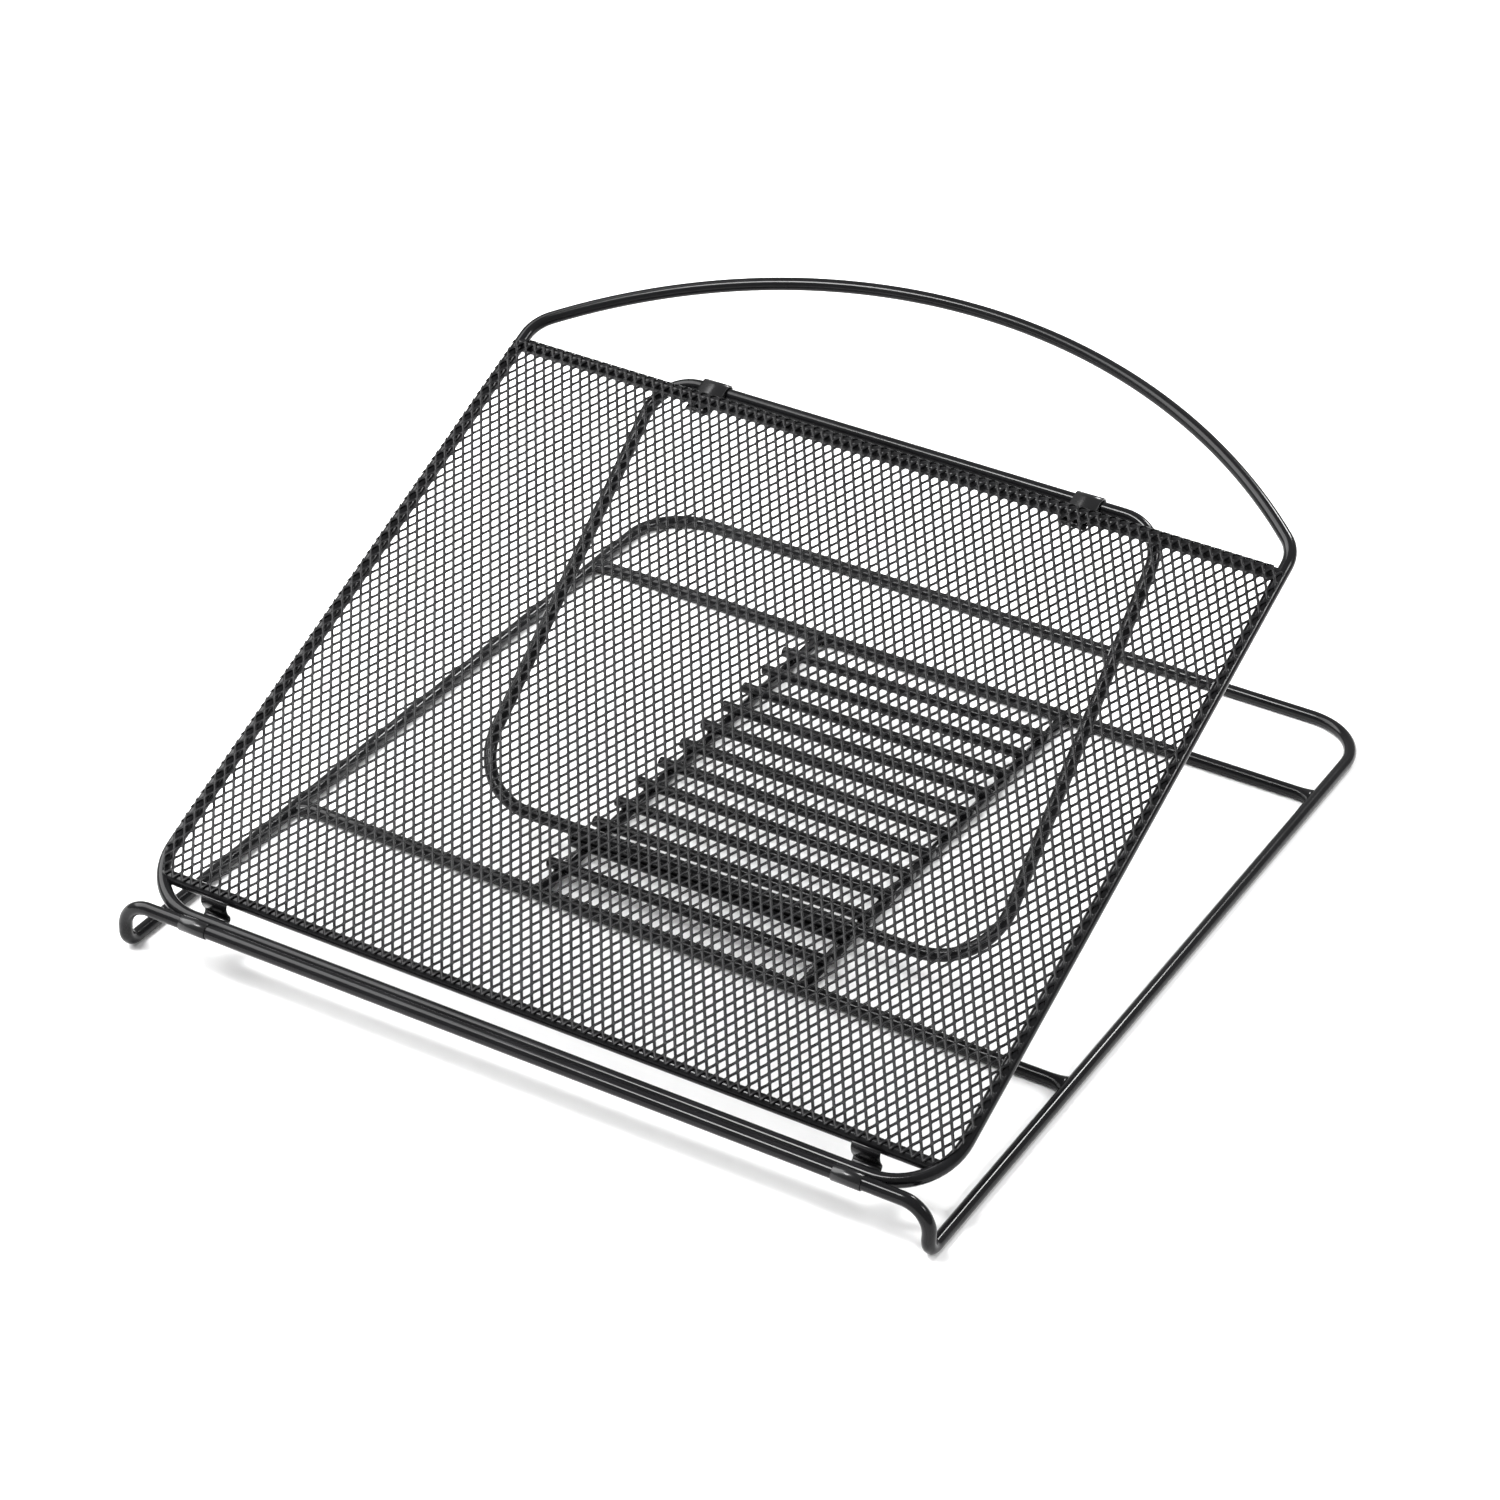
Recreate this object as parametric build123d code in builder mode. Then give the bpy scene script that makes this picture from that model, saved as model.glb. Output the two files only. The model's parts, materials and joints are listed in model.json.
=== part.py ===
"""Folding wire and mesh display stand: a bent wire base, a tilting mesh platform and a prop leg.

Millimetres, +Z up, +Y towards the rear, origin under the middle of the base on the table top.
"""
import os
from math import acos, asin, atan2, cos, degrees, radians, sin, sqrt, tan

from build123d import *

os.makedirs("parts", exist_ok=True)

# wire stock
WIRE_R = 2.4
RUNG_R = 2.1
WELD_BITE = 0.1

# base loop
BASE_HALF_X = 153.0
BASE_REAR_Y = 177.95
BASE_FRONT_Y = -177.45
REAR_BEND_R = 23.5
FLOOR_BEND_R = 5.5
POST_BEND_R = 10.0
RAIL_Z = 19.9

# cross bars and rack
REAR_BAR_Y = 126.75
FRONT_BAR_Y = -76.95
RACK_HALF_X = 52.0
RUNG_HALF_X = 56.0
RUNG_COUNT = 12
RUNG_PITCH = 15.25
RUNG_FRONT_Y = -63.75
RUNG_Z = WIRE_R + 2 * RUNG_R - WELD_BITE

# platform
TILT = 24.0
PIVOT_Y = -172.05
PIVOT_Z = 18.9
PLATFORM_HALF_X = 151.4
PLATFORM_BEND_R = 22.8
ARCH_APEX = 332.9
ARCH_R = 218.4
SHOULDER_R = 15.0
TOP_BAR = 261.0
BOTTOM_BAR = 11.0

# mesh panel
MESH_THICKNESS = 0.4
MESH_HALF_X = 152.6
MESH_BOTTOM = 10.0
MESH_CORNER_R = 24.0
MESH_CORNER_S = 26.6
MESH_ROLL = 135.0
MESH_ROLL_GAP = 0.4

# hinge clips
HINGE_CLIP_X = 124.0
HINGE_CLIP_WIDTH = 10.4
HINGE_SHEET = 0.4
HINGE_PLAY = 0.1
HOOK_REACH = 6.0
HOOK_R = 1.5
HOOK_TURN = 40.0
TAB_WAIST = (5.5, 3.0)
TAB_TIP = (6.0, 5.7)

# leg clips and leg
LEG_CLIP_X = 74.5
LEG_CLIP_WIDTH = 10.3
LEG_PLAY = 0.06
LEG_PIVOT = 270.3
LEG_PIVOT_DROP = 5.6
CLIP_TAIL = 4.0
LEG_X = 4.0
LEG_TOP_HALF_X = 100.4
LEG_FOOT_HALF_X = 103.0
LEG_TOP_BEND_R = 16.0
LEG_FOOT_BEND_R = 25.0
FOOT_Y = -49.5
FOOT_Z = 12.6

PLATFORM_PLANE = Plane(
    origin=(0, PIVOT_Y, PIVOT_Z),
    x_dir=(1, 0, 0),
    z_dir=(0, -sin(radians(TILT)), cos(radians(TILT))),
)


def bend_points(before, corner, after, radius):
    """Start, middle and end of the arc that rounds the corner between two straight runs."""
    back = (before - corner).normalized()
    ahead = (after - corner).normalized()
    half = radians(back.get_angle(ahead)) / 2
    reach = radius / tan(half)
    centre = corner + (back + ahead).normalized() * (radius / sin(half))
    middle = centre + (corner - centre).normalized() * radius
    return [tuple(point) for point in (corner + back * reach, middle, corner + ahead * reach)]


def bent_wire(corners, radii):
    """Straight runs and tangent arcs through the corners, drawn into the current line builder."""
    points = [Vector(*corner) for corner in corners]
    start = corners[0]
    for index, radius in enumerate(radii, start=1):
        bend = bend_points(points[index - 1], points[index], points[index + 1], radius)
        Line(start, bend[0])
        ThreePointArc(*bend)
        start = bend[2]
    Line(start, corners[-1])


def save(part, name):
    """Label one solid and write it to its own file."""
    part.label = name
    export_step(part, f"parts/{name}.step")


# base loop: half of the wire is swept, then mirrored
with BuildPart() as base_frame:
    with BuildLine() as base_path:
        bent_wire(
            [
                (0, BASE_REAR_Y, WIRE_R),
                (BASE_HALF_X, BASE_REAR_Y, WIRE_R),
                (BASE_HALF_X, BASE_FRONT_Y, WIRE_R),
                (BASE_HALF_X, BASE_FRONT_Y, RAIL_Z),
                (0, BASE_FRONT_Y, RAIL_Z),
            ],
            [REAR_BEND_R, FLOOR_BEND_R, POST_BEND_R],
        )
    with BuildSketch(Plane(origin=base_path.line @ 0, z_dir=base_path.line % 0)):
        Circle(WIRE_R)
    sweep()
    mirror(about=Plane.YZ)
save(base_frame.part, "base_frame")


def cross_bar(y, name):
    """A bar welded between the side wires, its ends coped to them."""
    with BuildPart() as bar:
        with BuildSketch(Plane.YZ.offset(-BASE_HALF_X)):
            with Locations((y, WIRE_R)):
                Circle(WIRE_R)
        extrude(amount=2 * BASE_HALF_X)
        add(base_frame.part, mode=Mode.SUBTRACT)
    save(bar.part, name)
    return bar.part


rear_cross_bar = cross_bar(REAR_BAR_Y, "rear_cross_bar")
front_cross_bar = cross_bar(FRONT_BAR_Y, "front_cross_bar")


def rack_rail(x, name):
    """A rail of the rack, coped to both cross bars."""
    with BuildPart() as rail:
        with BuildSketch(Plane.XZ.offset(-FRONT_BAR_Y)):
            with Locations((x, WIRE_R)):
                Circle(RUNG_R)
        extrude(amount=FRONT_BAR_Y - REAR_BAR_Y)
        add(rear_cross_bar, mode=Mode.SUBTRACT)
        add(front_cross_bar, mode=Mode.SUBTRACT)
    save(rail.part, name)
    return rail.part


rack_rail_left = rack_rail(-RACK_HALF_X, "rack_rail_left")
rack_rail_right = rack_rail(RACK_HALF_X, "rack_rail_right")


def rung(index):
    """One rung lying across both rails; the first one is at the rear."""
    y = RUNG_FRONT_Y + (RUNG_COUNT - index) * RUNG_PITCH
    with BuildPart() as bar:
        with BuildSketch(Plane.YZ.offset(-RUNG_HALF_X)):
            with Locations((y, RUNG_Z)):
                Circle(RUNG_R)
        extrude(amount=2 * RUNG_HALF_X)
        add(rack_rail_left, mode=Mode.SUBTRACT)
        add(rack_rail_right, mode=Mode.SUBTRACT)
    save(bar.part, f"rung_{index:02d}")


for rung_index in range(1, RUNG_COUNT + 1):
    rung(rung_index)


def hinge_clip(x, name):
    """Sheet clip rolled round the front rail, run under the platform wire and hooked up behind it."""
    sheet_mid = WIRE_R + HINGE_SHEET / 2
    cradle_r = sheet_mid + HINGE_PLAY
    run = sqrt((PIVOT_Y - BASE_FRONT_Y) ** 2 + (PIVOT_Z - RAIL_Z) ** 2)
    run_angle = atan2(PIVOT_Z - RAIL_Z, PIVOT_Y - BASE_FRONT_Y)
    tangent = run_angle - acos((sheet_mid - cradle_r) / run)
    cradle_start = 360 + degrees(tangent)
    hook_y = PIVOT_Y + HOOK_REACH
    hook_z = PIVOT_Z - cradle_r + HOOK_R
    hook_turn = radians(HOOK_TURN)
    with BuildPart() as clip:
        with BuildSketch(Plane.YZ.offset(x - HINGE_CLIP_WIDTH / 2)):
            with Locations((BASE_FRONT_Y, RAIL_Z)):
                Circle(WIRE_R + HINGE_SHEET)
            with BuildLine(mode=Mode.PRIVATE) as strap:
                Line(
                    (BASE_FRONT_Y + sheet_mid * cos(tangent), RAIL_Z + sheet_mid * sin(tangent)),
                    (PIVOT_Y + cradle_r * cos(tangent), PIVOT_Z + cradle_r * sin(tangent)),
                )
                CenterArc((PIVOT_Y, PIVOT_Z), cradle_r, cradle_start, 270 - cradle_start)
                Line((PIVOT_Y, hook_z - HOOK_R), (hook_y, hook_z - HOOK_R))
                CenterArc((hook_y, hook_z), HOOK_R, 270, 90 + HOOK_TURN)
                ThreePointArc(
                    (hook_y + HOOK_R * cos(hook_turn), hook_z + HOOK_R * sin(hook_turn)),
                    (PIVOT_Y + TAB_WAIST[0], PIVOT_Z + TAB_WAIST[1]),
                    (PIVOT_Y + TAB_TIP[0], PIVOT_Z + TAB_TIP[1]),
                )
            trace(strap.edges(), line_width=HINGE_SHEET)
        extrude(amount=HINGE_CLIP_WIDTH)
        add(base_frame.part, mode=Mode.SUBTRACT)
    save(clip.part, name)


hinge_clip(-HINGE_CLIP_X, "hinge_clip_left")
hinge_clip(HINGE_CLIP_X, "hinge_clip_right")

# platform loop: lower wire, sides and arched handle, in the tilted plane
shoulder_x = PLATFORM_HALF_X - SHOULDER_R
arch_centre = ARCH_APEX - ARCH_R
shoulder_rise = sqrt((ARCH_R - SHOULDER_R) ** 2 - shoulder_x**2)
shoulder_turn = degrees(atan2(shoulder_rise, shoulder_x))
shoulder_y = arch_centre + shoulder_rise

with BuildPart() as platform_frame:
    with BuildLine(PLATFORM_PLANE) as platform_path:
        bent_wire(
            [(0, 0), (PLATFORM_HALF_X, 0), (PLATFORM_HALF_X, shoulder_y)],
            [PLATFORM_BEND_R],
        )
        CenterArc((shoulder_x, shoulder_y), SHOULDER_R, 0, shoulder_turn)
        CenterArc((0, arch_centre), ARCH_R, shoulder_turn, 90 - shoulder_turn)
    with BuildSketch(Plane(origin=PLATFORM_PLANE.origin, z_dir=(1, 0, 0))):
        Circle(WIRE_R)
    sweep()
    mirror(about=Plane.YZ)
save(platform_frame.part, "platform_frame")


def platform_bar(along, name):
    """A straight bar across the platform, its ends coped to the side wires."""
    centre = PLATFORM_PLANE.from_local_coords(Vector(0, along, 0))
    with BuildPart() as bar:
        with BuildSketch(Plane.YZ.offset(-PLATFORM_HALF_X)):
            with Locations((centre.Y, centre.Z)):
                Circle(WIRE_R)
        extrude(amount=2 * PLATFORM_HALF_X)
        add(platform_frame.part, mode=Mode.SUBTRACT)
    between_sides = bar.part.solids().sort_by(SortBy.VOLUME)[-1]
    save(between_sides, name)
    return between_sides


top_bar = platform_bar(TOP_BAR, "top_bar")
bottom_bar = platform_bar(BOTTOM_BAR, "bottom_bar")

# mesh panel: a sheet laid on the side wires and the two bars, then rolled over the back of the top bar
corner_x = MESH_HALF_X - MESH_CORNER_R
corner_turn = asin((MESH_CORNER_S - MESH_BOTTOM) / MESH_CORNER_R)
mesh_foot_x = corner_x + MESH_CORNER_R * cos(corner_turn)
roll_half_x = PLATFORM_HALF_X - WIRE_R - MESH_ROLL_GAP
roll_section = Plane(
    origin=PLATFORM_PLANE.from_local_coords(Vector(-roll_half_x, 0, 0)),
    x_dir=PLATFORM_PLANE.y_dir,
    z_dir=(1, 0, 0),
)

with BuildPart() as mesh_panel:
    with BuildSketch(PLATFORM_PLANE.offset(WIRE_R)):
        with BuildLine():
            Line((0, MESH_BOTTOM), (mesh_foot_x, MESH_BOTTOM))
            CenterArc((corner_x, MESH_CORNER_S), MESH_CORNER_R, -degrees(corner_turn), degrees(corner_turn))
            Line((MESH_HALF_X, MESH_CORNER_S), (MESH_HALF_X, TOP_BAR))
            Line((MESH_HALF_X, TOP_BAR), (0, TOP_BAR))
            mirror(about=Plane.YZ)
        make_face()
    extrude(amount=MESH_THICKNESS)
    with BuildSketch(roll_section):
        with BuildLine(mode=Mode.PRIVATE) as roll:
            CenterArc((TOP_BAR, 0), WIRE_R + MESH_THICKNESS / 2, 90 - MESH_ROLL, MESH_ROLL)
        trace(roll.edges(), line_width=MESH_THICKNESS)
    extrude(amount=2 * roll_half_x)
save(mesh_panel.part, "mesh_panel")


def leg_clip(x, name):
    """Sheet clip laid under the top bar and rolled round the leg wire, which turns in it."""
    roll_r = LEG_PIVOT_DROP - WIRE_R
    pin_r = WIRE_R + LEG_PLAY
    strap = roll_r - pin_r
    tail = TOP_BAR - CLIP_TAIL
    section = Plane(
        origin=PLATFORM_PLANE.from_local_coords(Vector(x - LEG_CLIP_WIDTH / 2, 0, -LEG_PIVOT_DROP)),
        x_dir=PLATFORM_PLANE.y_dir,
        z_dir=(1, 0, 0),
    )
    with BuildPart() as clip:
        with BuildSketch(section):
            with Locations((LEG_PIVOT, 0)):
                Circle(roll_r)
            with Locations(((tail + LEG_PIVOT) / 2, roll_r - strap / 2)):
                Rectangle(LEG_PIVOT - tail, strap)
            with Locations((LEG_PIVOT, 0)):
                Circle(pin_r, mode=Mode.SUBTRACT)
        extrude(amount=LEG_CLIP_WIDTH)
        add(top_bar, mode=Mode.SUBTRACT)
    save(clip.part, name)


leg_clip(-LEG_CLIP_X, "leg_clip_left")
leg_clip(LEG_CLIP_X, "leg_clip_right")

# leg loop: a rounded trapezoid of wire hanging from the clips down to the rack
leg_top = PLATFORM_PLANE.from_local_coords(Vector(LEG_X, LEG_PIVOT, -LEG_PIVOT_DROP))
leg_foot = Vector(LEG_X, FOOT_Y, FOOT_Z)
leg_length = (leg_foot - leg_top).length
leg_plane = Plane(
    origin=leg_foot,
    x_dir=(1, 0, 0),
    z_dir=Vector(1, 0, 0).cross(leg_top - leg_foot),
)

with BuildPart() as leg_loop:
    with BuildLine(leg_plane) as leg_path:
        bent_wire(
            [
                (0, 0),
                (LEG_FOOT_HALF_X, 0),
                (LEG_TOP_HALF_X, leg_length),
                (0, leg_length),
            ],
            [LEG_FOOT_BEND_R, LEG_TOP_BEND_R],
        )
    with BuildSketch(Plane(origin=leg_foot, z_dir=(1, 0, 0))):
        Circle(WIRE_R)
    sweep()
    mirror(about=Plane.YZ.offset(LEG_X))
save(leg_loop.part, "leg_loop")
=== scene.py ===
# Folding display stand of black coated wire and expanded mesh: its looks, built round the CAD frame.
# Metres, +Z up, +Y towards the rear. Platform points are (x, s, n): across, up the slope from the
# pivot, and out of the sloping face.
import json
from math import acos, asin, atan2, ceil, cos, pi, radians, sin, sqrt, tan

import bmesh
import bpy
from mathutils import Matrix, Vector


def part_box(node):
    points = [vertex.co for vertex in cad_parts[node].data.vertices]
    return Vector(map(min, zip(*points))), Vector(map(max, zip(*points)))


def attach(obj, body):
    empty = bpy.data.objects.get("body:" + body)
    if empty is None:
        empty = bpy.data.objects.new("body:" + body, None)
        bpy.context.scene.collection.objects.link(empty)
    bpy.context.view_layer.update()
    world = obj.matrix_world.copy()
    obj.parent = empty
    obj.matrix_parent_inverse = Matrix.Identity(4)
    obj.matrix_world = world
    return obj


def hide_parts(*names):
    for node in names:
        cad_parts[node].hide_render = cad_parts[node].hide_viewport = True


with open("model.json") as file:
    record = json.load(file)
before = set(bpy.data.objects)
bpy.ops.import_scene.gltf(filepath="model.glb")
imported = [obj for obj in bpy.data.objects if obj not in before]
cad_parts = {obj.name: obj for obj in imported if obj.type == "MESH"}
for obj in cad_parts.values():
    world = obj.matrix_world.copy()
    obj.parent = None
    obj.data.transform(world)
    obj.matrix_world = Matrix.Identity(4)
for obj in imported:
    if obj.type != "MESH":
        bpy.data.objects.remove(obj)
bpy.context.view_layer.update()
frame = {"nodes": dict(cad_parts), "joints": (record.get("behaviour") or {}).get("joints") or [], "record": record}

MM = 0.001

# wires, in metres; their places come from the frame's boxes
WIRE_SIDES = 28
TURNS = [2 * pi * i / WIRE_SIDES for i in range(WIRE_SIDES)]
BEND_STEP = radians(6)
LONGEST_CHORD = 4.0 * MM
REAR_BEND_R = 23.5 * MM
FLOOR_BEND_R = 5.5 * MM
POST_BEND_R = 10.0 * MM
PLATFORM_BEND_R = 22.8 * MM
ARCH_R = 218.4 * MM
SHOULDER_R = 15.0 * MM
LEG_TOP_HALF_X = 100.4 * MM
LEG_FOOT_HALF_X = 103.0 * MM
LEG_TOP_BEND_R = 16.0 * MM
LEG_FOOT_BEND_R = 25.0 * MM

# pressed and welded ends
FLARE_LENGTH = 6.8 * MM
FLARE_WIDTH = 2.0
FLARE_THICKNESS = 0.8
FLARE_STEPS = 6
END_ROUNDING = 0.55 * MM
ROUNDING_STEPS = 4
WELD_SHAPE = Vector((0.8, 0.8, 0.45))
WELD_SIDES = 16
WELD_RINGS = 8
WELD_RIPPLE = 0.06
WELD_WAVES = Vector((5, 3, 0))

# clips
HINGE_SHEET = 0.4 * MM
HINGE_PLAY = 0.1 * MM
HINGE_WRAP = radians(315)
HOOK_REACH = 6.0 * MM
HOOK_R = 1.5 * MM
HOOK_TURN = radians(40)
TAB_WAIST = (5.5 * MM, 3.0 * MM)
TAB_TIP = (6.0 * MM, 5.7 * MM)
TAB_STEPS = 12
LEG_SHEET = 0.7 * MM
LEG_PLAY = 0.4 * MM
LEG_WRAP = radians(325)
TAIL_STEPS = 6
SHEET_ROUNDING = 0.12 * MM
EDGE_THICKNESS = 0.4

# expanded mesh: diamonds with their long way up the slope
CELL_X = 3.855 * MM
CELL_S = 6.54 * MM
STRAND = 1.0 * MM
STRAND_DEPTH = 0.3 * MM
STRAND_TWIST = 0.3
BOND_SHARE = 0.13
TIP_SHARE = 0.11
EDGE_BAND = 5.0 * MM
EDGE_STEPS = 4
SHEET_RISE = 0.3 * MM
SIDE_WRAP = radians(36)
BOTTOM_WRAP = radians(28)
TOP_WRAP = radians(140)
ROLL_GAP = 0.6 * MM
MESH_CORNER_R = 24.0 * MM
MESH_CORNER_S = 26.6 * MM
CORNER_CUTS = 6
CUT_TOLERANCE = 1e-7
KEY_DIGITS = 3
MESH_PARTS = (
    "mesh_left",
    "mesh_right",
    "mesh_top_edge",
    "mesh_bottom_edge",
    "mesh_left_edge",
    "mesh_right_edge",
)

# coating: noise scales are per metre, tones are shares of the slot's colour
CLOUD_SCALE = 60
CLOUD_DETAIL = 4
GRAIN_SCALE = 900
GRAIN_DETAIL = 3
DARKEST_AT = 0.3
DARKEST_TONE = 0.18
LIGHTEST_AT = 0.7
LIGHTEST_TONE = 0.34
GLOSSIEST = 0.8
DULLEST = 1.25
PEEL_DEPTH = 0.05 * MM

# studio
FLOOR_HALF = 12.0
FLOOR_WHITE = 0.95
FLOOR_ROUGHNESS = 0.9
FLOOR_SHINE = 0.1
WORLD_STRENGTH = 0.56

# camera: the photograph's viewing angle
VIEW_AZIMUTH = radians(28.19)
VIEW_ELEVATION = radians(32.71)
VIEW_ROLL = radians(2.65)
VIEW_DISTANCE = 1.4497
VIEW_TARGET = Vector((-0.0011, -0.0214, 0.0491))
LENS_MM = 100.74
SENSOR_MM = 36.0


# ---------------------------------------------------------------- materials

def slot_colour(slot):
    """The record's colour for a material slot."""
    return next(m["base_color"] for m in frame["record"]["materials"] if m["slot"] == slot)


def noise(tree, scale, detail):
    """A noise texture that is fixed to the object; returns its value."""
    place = tree.nodes.new("ShaderNodeTexCoord")
    texture = tree.nodes.new("ShaderNodeTexNoise")
    texture.inputs["Scale"].default_value = scale
    texture.inputs["Detail"].default_value = detail
    tree.links.new(place.outputs["Object"], texture.inputs["Vector"])
    return texture.outputs["Fac"]


def uneven_tone(tree, cloud, colour):
    """The slot's colour, a little darker or lighter from place to place."""
    tone = tree.nodes.new("ShaderNodeValToRGB")
    darkest, lightest = tone.color_ramp.elements
    darkest.position = DARKEST_AT
    darkest.color = [c * DARKEST_TONE for c in colour] + [1]
    lightest.position = LIGHTEST_AT
    lightest.color = [c * LIGHTEST_TONE for c in colour] + [1]
    tree.links.new(cloud, tone.inputs["Fac"])
    return tone.outputs["Color"]


def uneven_gloss(tree, cloud, roughness):
    """A roughness that varies a little from place to place."""
    gloss = tree.nodes.new("ShaderNodeMapRange")
    gloss.inputs["To Min"].default_value = roughness * GLOSSIEST
    gloss.inputs["To Max"].default_value = roughness * DULLEST
    tree.links.new(cloud, gloss.inputs["Value"])
    return gloss.outputs["Result"]


def orange_peel(tree, strength):
    """A fine grainy bump."""
    bump = tree.nodes.new("ShaderNodeBump")
    bump.inputs["Strength"].default_value = strength
    bump.inputs["Distance"].default_value = PEEL_DEPTH
    tree.links.new(noise(tree, GRAIN_SCALE, GRAIN_DETAIL), bump.inputs["Height"])
    return bump.outputs["Normal"]


def coating(slot, roughness, peel, shine):
    """Black stoved paint over steel: faint tone changes, orange peel and slightly uneven gloss."""
    material = bpy.data.materials.new(slot + "_look")
    material.use_nodes = True
    tree = material.node_tree
    shader = tree.nodes["Principled BSDF"]
    shader.inputs["Specular IOR Level"].default_value = shine
    cloud = noise(tree, CLOUD_SCALE, CLOUD_DETAIL)
    tree.links.new(uneven_tone(tree, cloud, slot_colour(slot)), shader.inputs["Base Color"])
    tree.links.new(uneven_gloss(tree, cloud, roughness), shader.inputs["Roughness"])
    tree.links.new(orange_peel(tree, peel), shader.inputs["Normal"])
    return material


MATERIALS = {
    "coated_wire": coating("coated_wire", roughness=0.15, peel=0.1, shine=0.16),
    "coated_sheet": coating("coated_sheet", roughness=0.22, peel=0.15, shine=0.3),
    "coated_mesh": coating("coated_mesh", roughness=0.26, peel=0.2, shine=0.1),
}


# ---------------------------------------------------------------- shared helpers

def finish_piece(bm, name, slot, body, *replaced):
    """Makes the built mesh a smooth-shaded object that rides on its body and stands for CAD nodes."""
    bmesh.ops.recalc_face_normals(bm, faces=bm.faces)
    for face in bm.faces:
        face.smooth = True
    mesh = bpy.data.meshes.new(name)
    bm.to_mesh(mesh)
    bm.free()
    mesh.materials.append(MATERIALS[slot])
    piece = bpy.data.objects.new(name, mesh)
    bpy.context.scene.collection.objects.link(piece)
    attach(piece, body)
    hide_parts(*replaced)


def box_middle(node):
    """Centre of a CAD node's box."""
    low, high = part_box(node)
    return (low + high) / 2


def box_size(node):
    """Extents of a CAD node's box."""
    low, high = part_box(node)
    return high - low


def arc(centre, start, normal, angle):
    """Points round an arc, from the start point, turning about the normal."""
    reach = (start - centre).length * angle
    steps = max(1, ceil(angle / BEND_STEP), ceil(reach / LONGEST_CHORD))
    return [
        centre + Matrix.Rotation(angle * i / steps, 3, normal) @ (start - centre)
        for i in range(steps + 1)
    ]


def bend(before, corner, after, radius):
    """The arc that rounds the corner between two straight runs."""
    back = (before - corner).normalized()
    ahead = (after - corner).normalized()
    half = back.angle(ahead) / 2
    centre = corner + (back + ahead).normalized() * (radius / sin(half))
    return arc(centre, corner + back * (radius / tan(half)), ahead.cross(back), pi - 2 * half)


def bent(corners, radii):
    """A line through the corners with each inner corner rounded."""
    points = [corners[0]]
    for i, radius in enumerate(radii, start=1):
        points += bend(corners[i - 1], corners[i], corners[i + 1], radius)
    return points + [corners[-1]]


def mirrored(points, x=0.0):
    """A half line and its mirror image in x, joined into a closed loop; the ends lie on the mirror."""
    return points + [Vector((2 * x - p.x, p.y, p.z)) for p in reversed(points[1:-1])]


def section_frames(points, closed):
    """A side direction at each point, carried along without twist; a loop's leftover turn is shared."""
    count = len(points)
    tangents = []
    for i in range(count):
        after = points[(i + 1) % count] if closed or i + 1 < count else points[i]
        before = points[i - 1] if closed or i else points[i]
        tangents.append((after - before).normalized())
    sides = [tangents[0].orthogonal().normalized()]
    for i in range(1, count + 1 if closed else count):
        turn = tangents[i - 1].rotation_difference(tangents[i % count])
        sides.append(turn @ sides[-1])
    if closed:
        last = sides.pop()
        extra = atan2(tangents[0].dot(last.cross(sides[0])), last.dot(sides[0]))
        sides = [
            Matrix.Rotation(extra * i / count, 3, tangents[i]) @ s for i, s in enumerate(sides)
        ]
    return [(s, t.cross(s)) for s, t in zip(sides, tangents)]


def skin(bm, rings, closed):
    """Faces between neighbouring rings, and flat ends on an open tube."""
    pairs = list(zip(rings, rings[1:])) + ([(rings[-1], rings[0])] if closed else [])
    for first, second in pairs:
        for i in range(len(first)):
            j = (i + 1) % len(first)
            bm.faces.new((first[i], first[j], second[j], second[i]))
    if not closed:
        bm.faces.new(rings[0])
        bm.faces.new(reversed(rings[-1]))


def tube(bm, points, radius, closed=False):
    """A round wire along a line of points."""
    rings = []
    for point, (side, other) in zip(points, section_frames(points, closed)):
        ring = [point + (side * cos(a) + other * sin(a)) * radius for a in TURNS]
        rings.append([bm.verts.new(place) for place in ring])
    skin(bm, rings, closed)


def flared_half(half_length):
    """Places along half a bar whose end is pressed wide: distance out, width and height factors."""
    stations = []
    for i in range(FLARE_STEPS + 1):
        share = i / FLARE_STEPS
        wide = 1 + (FLARE_WIDTH - 1) * share**2
        high = 1 + (FLARE_THICKNESS - 1) * share**2
        stations.append((half_length - FLARE_LENGTH * (1 - share), wide, high))
    return stations


def rounded_half(half_length, radius):
    """Places along half a bar whose end is softly rounded: distance out, width and height factors."""
    stations = []
    for i in range(ROUNDING_STEPS + 1):
        turn = i * pi / 2 / ROUNDING_STEPS
        slim = 1 - (1 - cos(turn)) * END_ROUNDING / radius
        stations.append((half_length - END_ROUNDING * (1 - sin(turn)), slim, slim))
    return stations


def bar(bm, middle, radius, half):
    """A straight bar along X, from the places along its right half."""
    whole = [(-x, wide, high) for x, wide, high in reversed(half)] + half
    rings = []
    for x, wide, high in whole:
        ring = [Vector((x, radius * wide * cos(a), radius * high * sin(a))) for a in TURNS]
        rings.append([bm.verts.new(middle + place) for place in ring])
    skin(bm, rings, False)


def weld(bm, middle, half):
    """A small lump of weld metal where two wires cross, lower and wider than it is tall."""
    ball = bmesh.ops.create_uvsphere(bm, u_segments=WELD_SIDES, v_segments=WELD_RINGS, radius=1)
    for vert in ball["verts"]:
        ripple = 1 + WELD_RIPPLE * sin(WELD_WAVES.dot(vert.co))
        vert.co = middle + vert.co * half * ripple


# ---------------------------------------------------------------- base

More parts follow.
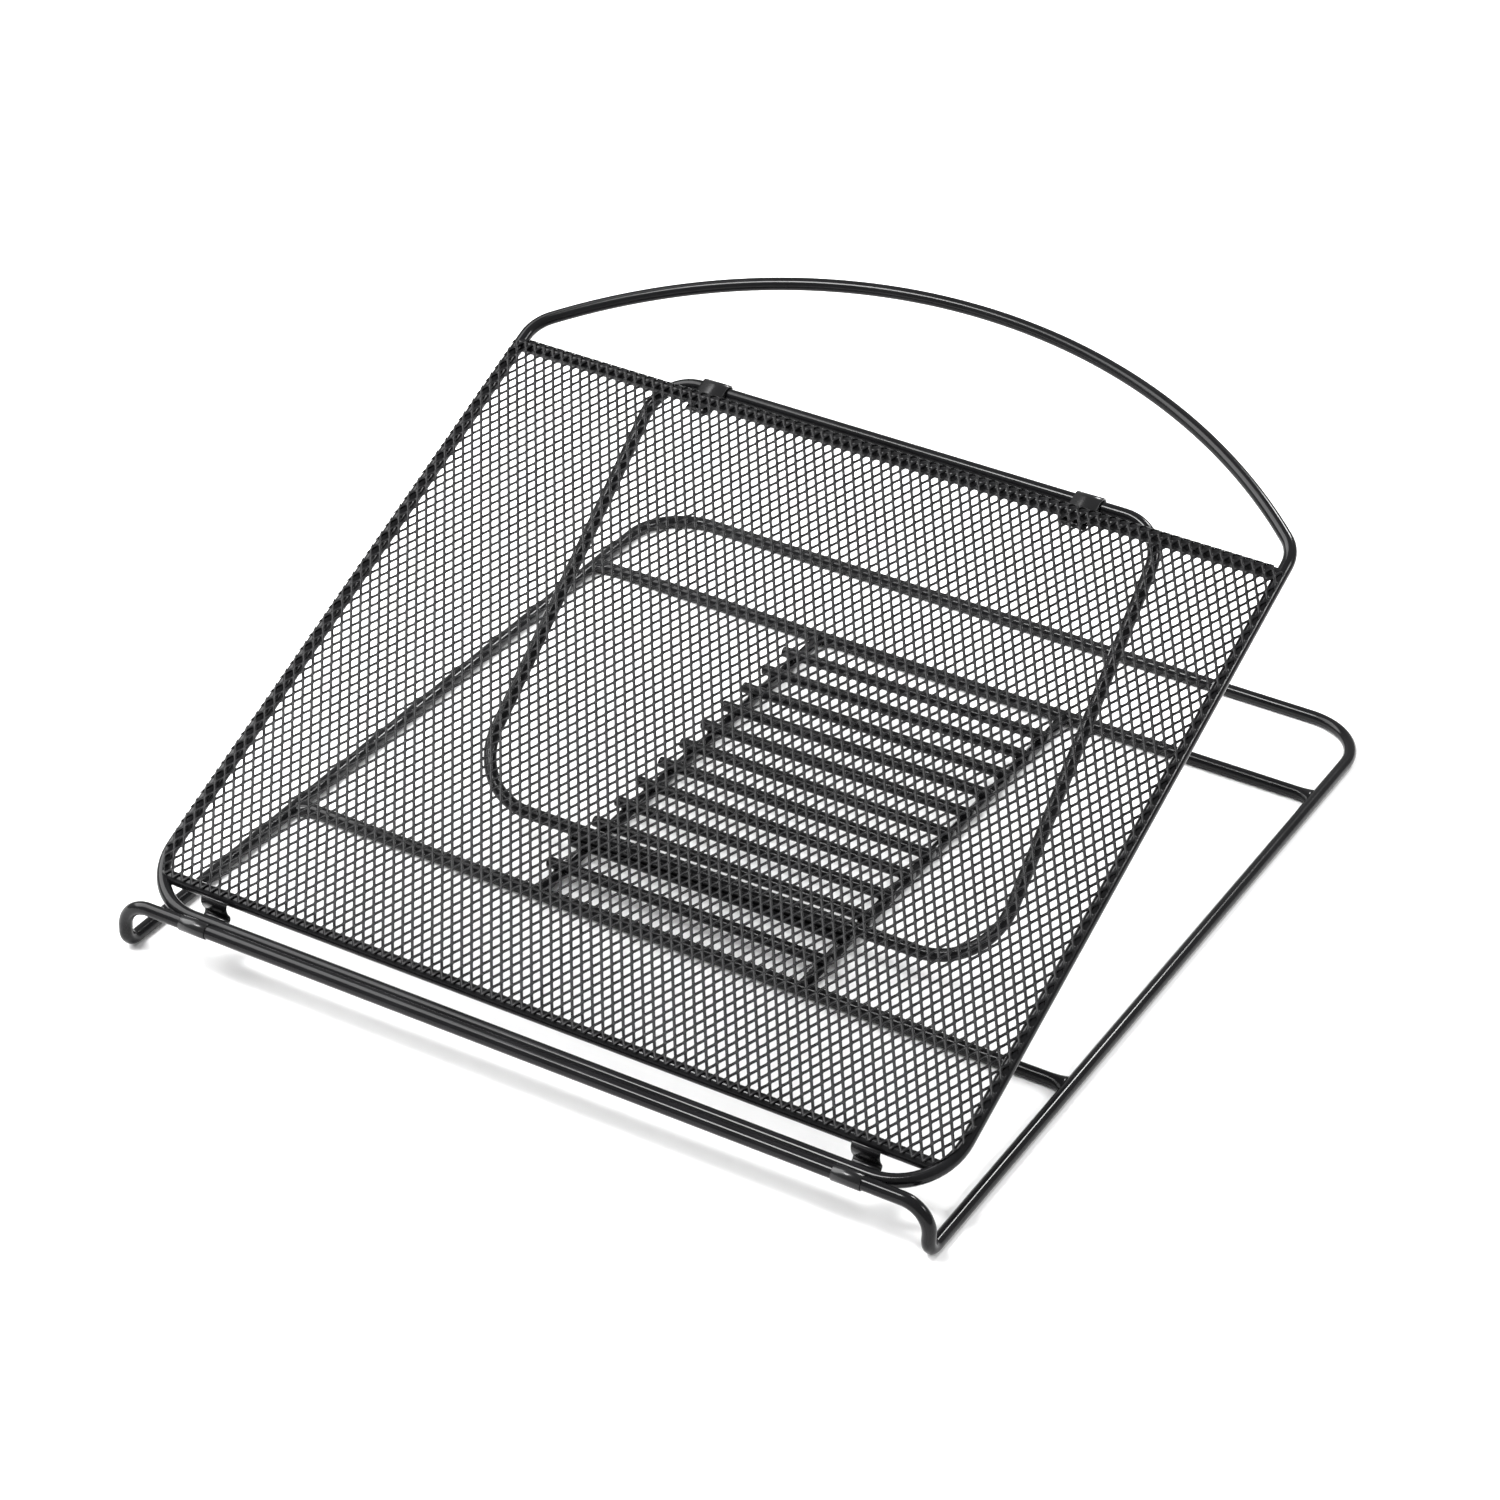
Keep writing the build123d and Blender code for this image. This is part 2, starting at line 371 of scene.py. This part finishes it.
WIRE_R = box_size("front_cross_bar").z / 2
RUNG_R = box_size("rung_01").y / 2
base_low, base_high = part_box("base_frame")
SIDE_X = base_high.x - WIRE_R
REAR_Y = base_high.y - WIRE_R
FRONT_Y = base_low.y + WIRE_R
RAIL_Z = base_high.z - WIRE_R


def build_base_frame():
    """The base loop: rear bar, side wires on the table, front corners bent up into a raised rail."""
    half = bent(
        [
            Vector((0, REAR_Y, WIRE_R)),
            Vector((SIDE_X, REAR_Y, WIRE_R)),
            Vector((SIDE_X, FRONT_Y, WIRE_R)),
            Vector((SIDE_X, FRONT_Y, RAIL_Z)),
            Vector((0, FRONT_Y, RAIL_Z)),
        ],
        [REAR_BEND_R, FLOOR_BEND_R, POST_BEND_R],
    )
    bm = bmesh.new()
    tube(bm, mirrored(half), WIRE_R, closed=True)
    finish_piece(bm, "base_loop", "coated_wire", "base", "base_frame")


def build_cross_bar(node):
    """A cross bar whose pressed ends are welded to the side wires."""
    bm = bmesh.new()
    bar(bm, box_middle(node), WIRE_R, flared_half(SIDE_X - WIRE_R / 2))
    finish_piece(bm, node + "_wire", "coated_wire", "base", node)


def build_rack_rail(node):
    """A rack rail running between the cross bars, its ends buried in them."""
    middle = box_middle(node)
    reach = Vector((0, box_size(node).y / 2, 0))
    bm = bmesh.new()
    tube(bm, [middle - reach, middle, middle + reach], RUNG_R)
    finish_piece(bm, node + "_wire", "coated_wire", "base", node)


def build_rung(node):
    """A rung with rounded overhanging ends and a weld lump on each rail."""
    middle = box_middle(node)
    bm = bmesh.new()
    bar(bm, middle, RUNG_R, rounded_half(box_size(node).x / 2, RUNG_R))
    for rail in ("rack_rail_left", "rack_rail_right"):
        contact = Vector((box_middle(rail).x, middle.y, middle.z - RUNG_R))
        weld(bm, contact, WELD_SHAPE * RUNG_R)
    finish_piece(bm, node + "_wire", "coated_wire", "base", node)


# ---------------------------------------------------------------- platform

JOINTS = {joint["name"]: joint for joint in frame["joints"]}
PIVOT = Vector(JOINTS["platform_tilt"]["pos_m"])
PIVOT_IN_PLANE = Vector((0, PIVOT.y, PIVOT.z))
LEG_PIVOT = Vector(JOINTS["leg_fold"]["pos_m"])
ACROSS = Vector((1, 0, 0))
UPSLOPE = (box_middle("top_bar") - box_middle("bottom_bar")).normalized()
OUT = ACROSS.cross(UPSLOPE)
PLATFORM_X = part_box("platform_frame")[1].x - WIRE_R
APEX_S = (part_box("platform_frame")[1].z - WIRE_R - PIVOT.z) / UPSLOPE.z


def on_platform(x, s, n=0.0):
    """A platform point's place in the shared frame, at rest."""
    return PIVOT_IN_PLANE + ACROSS * x + UPSLOPE * s + OUT * n


def build_platform_frame():
    """The platform loop: lower wire, sides and arched handle."""
    shoulder_x = PLATFORM_X - SHOULDER_R
    arch_s = APEX_S - ARCH_R
    rise = sqrt((ARCH_R - SHOULDER_R) ** 2 - shoulder_x**2)
    turn = atan2(rise, shoulder_x)
    shoulder_s = arch_s + rise
    lower = bent(
        [on_platform(0, 0), on_platform(PLATFORM_X, 0), on_platform(PLATFORM_X, shoulder_s)],
        [PLATFORM_BEND_R],
    )
    shoulder = arc(on_platform(shoulder_x, shoulder_s), lower[-1], OUT, turn)
    arch = arc(on_platform(0, arch_s), shoulder[-1], OUT, pi / 2 - turn)
    bm = bmesh.new()
    tube(bm, mirrored(lower[:-1] + shoulder[:-1] + arch), WIRE_R, closed=True)
    finish_piece(bm, "platform_loop", "coated_wire", "platform", "platform_frame")


def build_platform_bar(node, half_length):
    """A straight bar of the platform, welded between its side wires."""
    bm = bmesh.new()
    bar(bm, box_middle(node), WIRE_R, rounded_half(half_length, WIRE_R))
    finish_piece(bm, node + "_wire", "coated_wire", "platform", node)


# ---------------------------------------------------------------- leg

def build_leg():
    """The leg loop: a rounded trapezoid hanging from the clips down to the rack."""
    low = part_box("leg_loop")[0]
    foot = Vector((LEG_PIVOT.x, low.y + WIRE_R, low.z + WIRE_R))
    half = bent(
        [
            foot,
            foot + ACROSS * LEG_FOOT_HALF_X,
            LEG_PIVOT + ACROSS * LEG_TOP_HALF_X,
            LEG_PIVOT.copy(),
        ],
        [LEG_FOOT_BEND_R, LEG_TOP_BEND_R],
    )
    bm = bmesh.new()
    tube(bm, mirrored(half, LEG_PIVOT.x), WIRE_R, closed=True)
    finish_piece(bm, "leg_wire", "coated_wire", "leg", "leg_loop")


# ---------------------------------------------------------------- clips

def strip(bm, line, thickness, x, width):
    """Sheet metal of even thickness along a line in the YZ plane, with softened side edges."""
    inner = width / 2 - SHEET_ROUNDING
    upper = [(-width / 2, EDGE_THICKNESS), (-inner, 1), (inner, 1), (width / 2, EDGE_THICKNESS)]
    profile = upper + [(across, -height) for across, height in reversed(upper)]
    last = len(line) - 1
    rings = []
    for i, point in enumerate(line):
        ahead = (line[min(i + 1, last)] - line[max(i - 1, 0)]).normalized()
        normal = ahead.cross(ACROSS) * (thickness / 2)
        ring = [point + ACROSS * (x + across) + normal * height for across, height in profile]
        rings.append([bm.verts.new(place) for place in ring])
    skin(bm, rings, False)


def round_point(centre, radius, angle):
    """A point on a circle in the YZ plane round a centre."""
    return Vector((0, centre.y + radius * cos(angle), centre.z + radius * sin(angle)))


def sweep_round(centre, radius, start, end):
    """Points on a circle in the YZ plane from one angle to another."""
    steps = ceil(abs(end - start) / BEND_STEP)
    return [round_point(centre, radius, start + (end - start) * i / steps) for i in range(steps + 1)]


def tab_line(start):
    """The spring tab's line: a smooth curve from the hook's end through the waist to the tip."""
    waist = PIVOT_IN_PLANE + Vector((0, *TAB_WAIST))
    tip = PIVOT_IN_PLANE + Vector((0, *TAB_TIP))
    via = waist * 2 - (start + tip) / 2
    line = []
    for i in range(1, TAB_STEPS + 1):
        t = i / TAB_STEPS
        line.append(start * (1 - t) ** 2 + via * 2 * t * (1 - t) + tip * t * t)
    return line


def build_hinge_clip(node):
    """Sheet rolled round the front rail, run under the platform wire and hooked up behind it."""
    rail = Vector((0, FRONT_Y, RAIL_Z))
    roll_r = WIRE_R + HINGE_SHEET / 2
    cradle_r = roll_r + HINGE_PLAY
    run = PIVOT_IN_PLANE - rail
    leave = atan2(run.z, run.y) - acos((roll_r - cradle_r) / run.length)
    hook = PIVOT_IN_PLANE + Vector((0, HOOK_REACH, HOOK_R - cradle_r))
    line = sweep_round(rail, roll_r, leave - HINGE_WRAP, leave)
    line += sweep_round(PIVOT_IN_PLANE, cradle_r, leave, -pi / 2)
    line += sweep_round(hook, HOOK_R, -pi / 2, HOOK_TURN)
    line += tab_line(line[-1])
    bm = bmesh.new()
    strip(bm, line, HINGE_SHEET, box_middle(node).x, box_size(node).x)
    finish_piece(bm, node + "_sheet", "coated_sheet", "base", node)


def build_leg_clip(node):
    """Sheet laid under the top bar and rolled round the leg wire."""
    roll_r = WIRE_R + LEG_PLAY + LEG_SHEET / 2
    top = atan2(UPSLOPE.z, UPSLOPE.y) + pi / 2
    crown = round_point(LEG_PIVOT, roll_r, top)
    tail = crown - UPSLOPE * ((crown.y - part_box(node)[0].y) / UPSLOPE.y)
    line = [tail.lerp(crown, i / TAIL_STEPS) for i in range(TAIL_STEPS)]
    line += sweep_round(LEG_PIVOT, roll_r, top, top - LEG_WRAP)
    bm = bmesh.new()
    strip(bm, line, LEG_SHEET, box_middle(node).x, box_size(node).x)
    finish_piece(bm, node + "_sheet", "coated_sheet", "platform", node)


# ---------------------------------------------------------------- expanded mesh

TOP_BAR_S = (box_middle("top_bar") - PIVOT).dot(UPSLOPE)
BOTTOM_BAR_S = (box_middle("bottom_bar") - PIVOT).dot(UPSLOPE)
SHEET_N = WIRE_R + SHEET_RISE
SHEET_X = PLATFORM_X + SHEET_N * SIDE_WRAP
SHEET_LOW = BOTTOM_BAR_S - SHEET_N * BOTTOM_WRAP
SHEET_HIGH = TOP_BAR_S + SHEET_N * TOP_WRAP
ROLL_X = PLATFORM_X - WIRE_R - ROLL_GAP
CORNER_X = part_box("mesh_panel")[1].x - MESH_CORNER_R


def diamond(steps):
    """One diamond of the mesh in the flat, round its middle: the rim along its strands' centre lines
    and the edge of its opening, as (x, s, n) points."""
    bonds = [
        Vector((CELL_X / 2, 0)),
        Vector((0, CELL_S / 2)),
        Vector((-CELL_X / 2, 0)),
        Vector((0, -CELL_S / 2)),
    ]
    strand_gap = CELL_X * CELL_S / sqrt(CELL_X**2 + CELL_S**2)
    shrink = 1 - STRAND / strand_gap
    rim, hole = [], []
    for k in range(4):
        bond, after = bonds[k], bonds[(k + 1) % 4]
        rim.append((bond.x, bond.y, 0.0))
        for line, scale, share in ((rim, 1, BOND_SHARE), (hole, shrink, TIP_SHARE)):
            start = bond.lerp(after, share) * scale
            end = after.lerp(bond, share) * scale
            lift_start = (start.x - bond.x) * STRAND_TWIST
            lift_end = (end.x - after.x) * STRAND_TWIST
            for i in range(steps + 1):
                point = start.lerp(end, i / steps)
                line.append((point.x, point.y, lift_start + (lift_end - lift_start) * i / steps))
    return rim, hole


def diamond_faces(steps):
    """Faces of one diamond's upper side; a corner is the line it lies on and its number there."""
    rim_side, hole_side = steps + 2, steps + 1
    faces = []
    for k in range(4):
        rim, hole = k * rim_side, k * hole_side
        rim_before = (k - 1) % 4 * rim_side + rim_side - 1
        hole_before = (k - 1) % 4 * hole_side + hole_side - 1
        faces.append(
            [("rim", rim_before), ("rim", rim), ("rim", rim + 1), ("hole", hole), ("hole", hole_before)]
        )
        for i in range(steps):
            outer = [("rim", rim + 1 + i), ("rim", rim + 2 + i)]
            faces.append(outer + [("hole", hole + 1 + i), ("hole", hole + i)])
    return faces


def ring_edges(ring):
    """Pairs of neighbours round a closed ring."""
    return zip(ring, ring[1:] + ring[:1])


def add_pair(points, x, s, n):
    """Adds the upper and lower point at a place on a strand; returns the upper one's index."""
    points.append((x, s, n + STRAND_DEPTH / 2))
    points.append((x, s, n - STRAND_DEPTH / 2))
    return len(points) - 2


def lattice(middles, steps):
    """Points and faces of the mesh in the flat, for diamonds with the given middles.

    Neighbours share a rim point when its place rounds to the same key. Bonds at odd multiples of
    half a cell in x lie midway between two keys, so some stay unshared and keep doubled walls inside.
    """
    rim, hole = diamond(steps)
    pattern = diamond_faces(steps)
    points, faces, shared, open_rim = [], [], {}, {}
    for middle_x, middle_s in middles:
        rings = {"rim": [], "hole": []}
        for x, s, n in rim:
            key = (
                round((middle_x + x) / MM, KEY_DIGITS),
                round((middle_s + s) / MM, KEY_DIGITS),
            )
            if key not in shared:
                shared[key] = add_pair(points, middle_x + x, middle_s + s, n)
            rings["rim"].append(shared[key])
        for x, s, n in hole:
            rings["hole"].append(add_pair(points, middle_x + x, middle_s + s, n))
        for corners in pattern:
            upper = [rings[line][i] for line, i in corners]
            faces.append(upper)
            faces.append([i + 1 for i in reversed(upper)])
        for a, b in ring_edges(rings["hole"]):
            faces.append((a, b, b + 1, a + 1))
        # a rim edge that no neighbour uses the other way round is open, and gets a side wall
        for a, b in ring_edges(rings["rim"]):
            if open_rim.pop((b, a), None) is None:
                open_rim[(a, b)] = True
    for a, b in open_rim:
        faces.append((b, a, a + 1, b + 1))
    return points, faces


def cut(bm, point, normal, trim=True):
    """Cuts the flat mesh at a plane; when trimming, what lies on the normal's side goes."""
    bmesh.ops.bisect_plane(
        bm,
        geom=[*bm.verts, *bm.edges, *bm.faces],
        dist=CUT_TOLERANCE,
        plane_co=point,
        plane_no=normal,
        clear_outer=trim,
    )


def laid(point):
    """A flat mesh point laid on the platform; past a wire's crown it bends down over that wire."""
    x, s, n = point
    height = SHEET_N + n
    over = abs(x) - PLATFORM_X
    if s > TOP_BAR_S:
        turn = (s - TOP_BAR_S) / SHEET_N
        return on_platform(x, TOP_BAR_S + height * sin(turn), height * cos(turn))
    if s < BOTTOM_BAR_S:
        turn = (BOTTOM_BAR_S - s) / SHEET_N
        return on_platform(x, BOTTOM_BAR_S - height * sin(turn), height * cos(turn))
    if over > 0:
        turn = over / SHEET_N
        reach = PLATFORM_X + height * sin(turn)
        return on_platform(reach if x > 0 else -reach, s, height * cos(turn))
    return on_platform(x, s, height)


def trim_corner(bm, side):
    """Rounds a lower corner of the flat mesh with short straight cuts."""
    turn = asin((MESH_CORNER_S - SHEET_LOW) / MESH_CORNER_R)
    for i in range(CORNER_CUTS):
        a = turn * (i + 0.5) / CORNER_CUTS
        away = Vector((side * cos(a), -sin(a), 0))
        cut(bm, Vector((side * CORNER_X, MESH_CORNER_S, 0)) + away * MESH_CORNER_R, away)


def notch_roll(bm):
    """Shortens the rolled top edge so that it ends inside the side wires."""
    across, along = Vector((1, 0, 0)), Vector((0, 1, 0))
    cut(bm, along * TOP_BAR_S, along, trim=False)
    for side in (1, -1):
        cut(bm, across * ROLL_X * side, across, trim=False)
    middles = {face: face.calc_center_median() for face in bm.faces}
    outside = [f for f, m in middles.items() if m.y > TOP_BAR_S and abs(m.x) > ROLL_X]
    bmesh.ops.delete(bm, geom=outside, context="FACES")


def trim_outline(bm):
    """Trims the flat mesh to its outline and closes the cut strands."""
    cut(bm, Vector((0, SHEET_LOW, 0)), Vector((0, -1, 0)))
    cut(bm, Vector((0, SHEET_HIGH, 0)), Vector((0, 1, 0)))
    for side in (1, -1):
        cut(bm, Vector((side * SHEET_X, 0, 0)), Vector((side, 0, 0)))
        trim_corner(bm, side)
    notch_roll(bm)
    open_edges = [e for e in bm.edges if e.is_boundary]
    bmesh.ops.holes_fill(bm, edges=open_edges, sides=0)


def build_mesh_piece(name, middles, steps, edged):
    """A part of the expanded mesh; the parts along its edges are trimmed and bend over the wires."""
    points, faces = lattice(middles, steps)
    flat = bpy.data.meshes.new(name + "_flat")
    flat.from_pydata(points, [], faces)
    bm = bmesh.new()
    bm.from_mesh(flat)
    bpy.data.meshes.remove(flat)
    if edged:
        trim_outline(bm)
    for vert in bm.verts:
        vert.co = laid(vert.co)
    finish_piece(bm, name, "coated_mesh", "platform", "mesh_panel")


def diamond_middles():
    """The middle of every diamond that reaches the mesh's outline."""
    half_x, half_s = CELL_X / 2, CELL_S / 2
    columns = ceil(SHEET_X / half_x) + 1
    first_row = int(SHEET_LOW / half_s) - 1
    last_row = ceil(SHEET_HIGH / half_s) + 1
    middles = []
    for column in range(-columns, columns + 1):
        for row in range(first_row, last_row + 1):
            x, s = column * half_x, row * half_s
            staggered = (column + row) % 2 == 0
            inside = abs(x) < SHEET_X + half_x and SHEET_LOW - half_s < s < SHEET_HIGH + half_s
            if staggered and inside:
                middles.append((x, s))
    return middles


def part_of(x, s):
    """The name of the mesh part that a diamond belongs to."""
    side = "left" if x < 0 else "right"
    if s > TOP_BAR_S - EDGE_BAND:
        return "mesh_top_edge"
    if s < BOTTOM_BAR_S + EDGE_BAND:
        return "mesh_bottom_edge"
    if abs(x) > PLATFORM_X - EDGE_BAND:
        return f"mesh_{side}_edge"
    return f"mesh_{side}"


def build_mesh():
    """The expanded mesh, in parts that are each made of whole diamonds."""
    parts = {name: [] for name in MESH_PARTS}
    for x, s in diamond_middles():
        parts[part_of(x, s)].append((x, s))
    for name, middles in parts.items():
        edged = name.endswith("edge")
        build_mesh_piece(name, middles, EDGE_STEPS if edged else 1, edged)


# ---------------------------------------------------------------- studio

def build_floor():
    """A wide plain white floor; it isn't part of the object."""
    bm = bmesh.new()
    bmesh.ops.create_grid(bm, x_segments=4, y_segments=4, size=FLOOR_HALF)
    mesh = bpy.data.meshes.new("floor")
    bm.to_mesh(mesh)
    bm.free()
    material = bpy.data.materials.new("floor_paper")
    material.use_nodes = True
    shader = material.node_tree.nodes["Principled BSDF"]
    shader.inputs["Base Color"].default_value = (FLOOR_WHITE, FLOOR_WHITE, FLOOR_WHITE, 1)
    shader.inputs["Roughness"].default_value = FLOOR_ROUGHNESS
    shader.inputs["Specular IOR Level"].default_value = FLOOR_SHINE
    mesh.materials.append(material)
    floor = bpy.data.objects.new("floor", mesh)
    bpy.context.scene.collection.objects.link(floor)


def add_lamp(name, toward, distance, size, power):
    """A square soft lamp in a direction from the object, turned to face it."""
    data = bpy.data.lights.new(name, "AREA")
    data.size = size
    data.energy = power
    lamp = bpy.data.objects.new(name, data)
    direction = Vector(toward).normalized()
    lamp.location = VIEW_TARGET + direction * distance
    lamp.rotation_mode = "QUATERNION"
    lamp.rotation_quaternion = direction.to_track_quat("Z", "Y")
    bpy.context.scene.collection.objects.link(lamp)


def build_lamps():
    """A broad key lamp that gives the shadows, and small lamps that draw highlights on the wires."""
    add_lamp("key", toward=(-0.72, -0.15, 0.68), distance=1.7, size=1.4, power=55)
    add_lamp("overhead", toward=(-0.27, -0.36, 0.89), distance=1.6, size=0.36, power=20)
    add_lamp("rear", toward=(0.15, 0.74, 0.66), distance=1.6, size=0.26, power=12)
    add_lamp("side", toward=(0.75, 0.3, 0.59), distance=1.6, size=0.3, power=9)


def build_world():
    """Even white surroundings."""
    world = bpy.data.worlds.new("studio")
    world.use_nodes = True
    background = world.node_tree.nodes["Background"]
    background.inputs["Color"].default_value = (1, 1, 1, 1)
    background.inputs["Strength"].default_value = WORLD_STRENGTH
    bpy.context.scene.world = world


def build_camera():
    """The camera at the photograph's angle, turned slightly about its own axis."""
    az, el, roll = VIEW_AZIMUTH, VIEW_ELEVATION, VIEW_ROLL
    back = Vector((sin(az) * cos(el), -cos(az) * cos(el), sin(el)))
    right = Vector((cos(az), sin(az), 0))
    up = back.cross(right)
    turned_right = right * cos(roll) + up * sin(roll)
    turned_up = up * cos(roll) - right * sin(roll)
    data = bpy.data.cameras.new("camera")
    data.sensor_width = SENSOR_MM
    data.lens = LENS_MM
    camera = bpy.data.objects.new("camera", data)
    axes = Matrix((turned_right, turned_up, back)).transposed()
    camera.matrix_world = Matrix.Translation(VIEW_TARGET + back * VIEW_DISTANCE) @ axes.to_4x4()
    bpy.context.scene.collection.objects.link(camera)
    bpy.context.scene.camera = camera


# ---------------------------------------------------------------- build

build_base_frame()
build_cross_bar("rear_cross_bar")
build_cross_bar("front_cross_bar")
build_rack_rail("rack_rail_left")
build_rack_rail("rack_rail_right")
for node in sorted(frame["nodes"]):
    if node.startswith("rung_"):
        build_rung(node)
build_hinge_clip("hinge_clip_left")
build_hinge_clip("hinge_clip_right")
build_platform_frame()
build_platform_bar("top_bar", PLATFORM_X)
build_platform_bar("bottom_bar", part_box("bottom_bar")[1].x)
build_leg()
build_leg_clip("leg_clip_left")
build_leg_clip("leg_clip_right")
build_mesh()

build_floor()
build_world()
build_lamps()
build_camera()
bpy.context.scene.view_settings.view_transform = "Standard"
